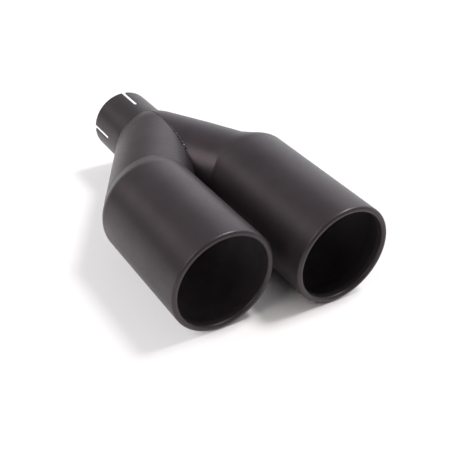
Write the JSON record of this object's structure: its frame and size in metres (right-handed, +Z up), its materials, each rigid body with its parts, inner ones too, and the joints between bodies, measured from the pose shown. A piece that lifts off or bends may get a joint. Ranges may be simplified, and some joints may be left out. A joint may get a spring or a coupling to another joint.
{
  "type": "dual exhaust tip",
  "caption": "Round exhaust tips of unequal length on a mitred Y, with rolled lips, spun shoulders and a slotted inlet collar that clamps onto a tail pipe.",
  "frame": {"origin": "centre of the inlet collar's open end", "axes": "+Y along the collar's axis, the way the exhaust pipe pulls out; the tips point along -Y; +Z is up; the axes of all the tubes lie in the plane z = 0"},
  "size_m": [0.1926, 0.288, 0.09],
  "materials": {
    "black_coat": "satin"
  },
  "bodies": {
    "root": {"inlet_collar": "black_coat", "left_branch": "black_coat", "right_branch": "black_coat", "left_tip": "black_coat", "right_tip": "black_coat"}
  },
  "joints": []
}
